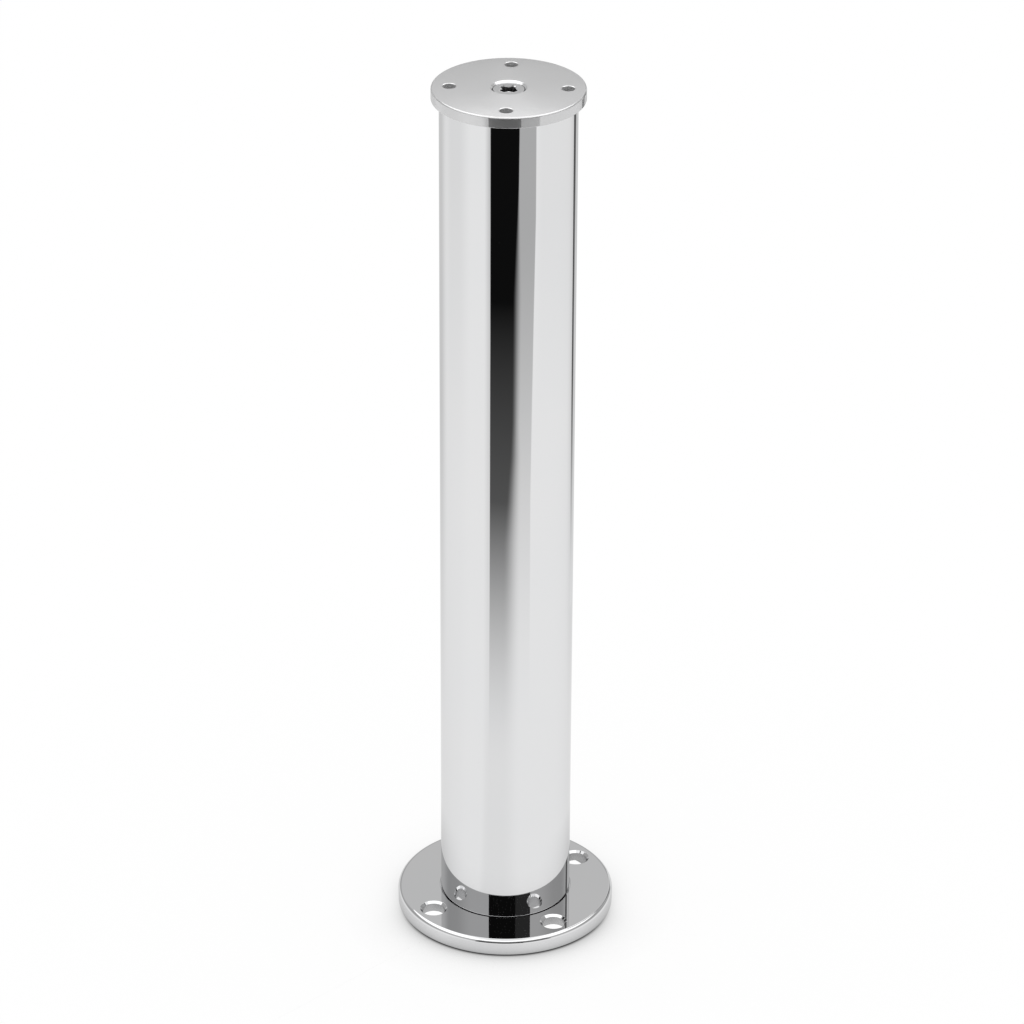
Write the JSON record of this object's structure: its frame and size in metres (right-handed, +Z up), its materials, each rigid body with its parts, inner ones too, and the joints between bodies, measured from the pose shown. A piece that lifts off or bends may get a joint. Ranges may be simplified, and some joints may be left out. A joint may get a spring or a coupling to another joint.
{
  "type": "column table leg",
  "caption": "Round column table leg: a chromed tube clamped by an inner tie rod between a drilled foot flange and a drilled top plate with a countersunk centre screw.",
  "frame": {"origin": "on the floor, at the middle of the foot flange's contact ring", "axes": "+Z up along the column's axis, +X to the right and +Y away from the viewer of the picture"},
  "size_m": [0.1, 0.1, 0.41],
  "materials": {
    "chrome": "polished chrome plating",
    "turned_plate": "satin, turned in fine rings, under thin chrome",
    "screw": "bright chrome plating",
    "zinc": "bright zinc plating"
  },
  "bodies": {
    "root": {"base_flange": "chrome", "column_tube": "chrome", "top_plate": "turned_plate", "top_screw": "screw", "base_screw": "screw", "upper_coupling_nut": "zinc", "lower_coupling_nut": "zinc", "upper_lock_nut": "zinc", "lower_lock_nut": "zinc", "tie_rod": "zinc"}
  },
  "joints": []
}
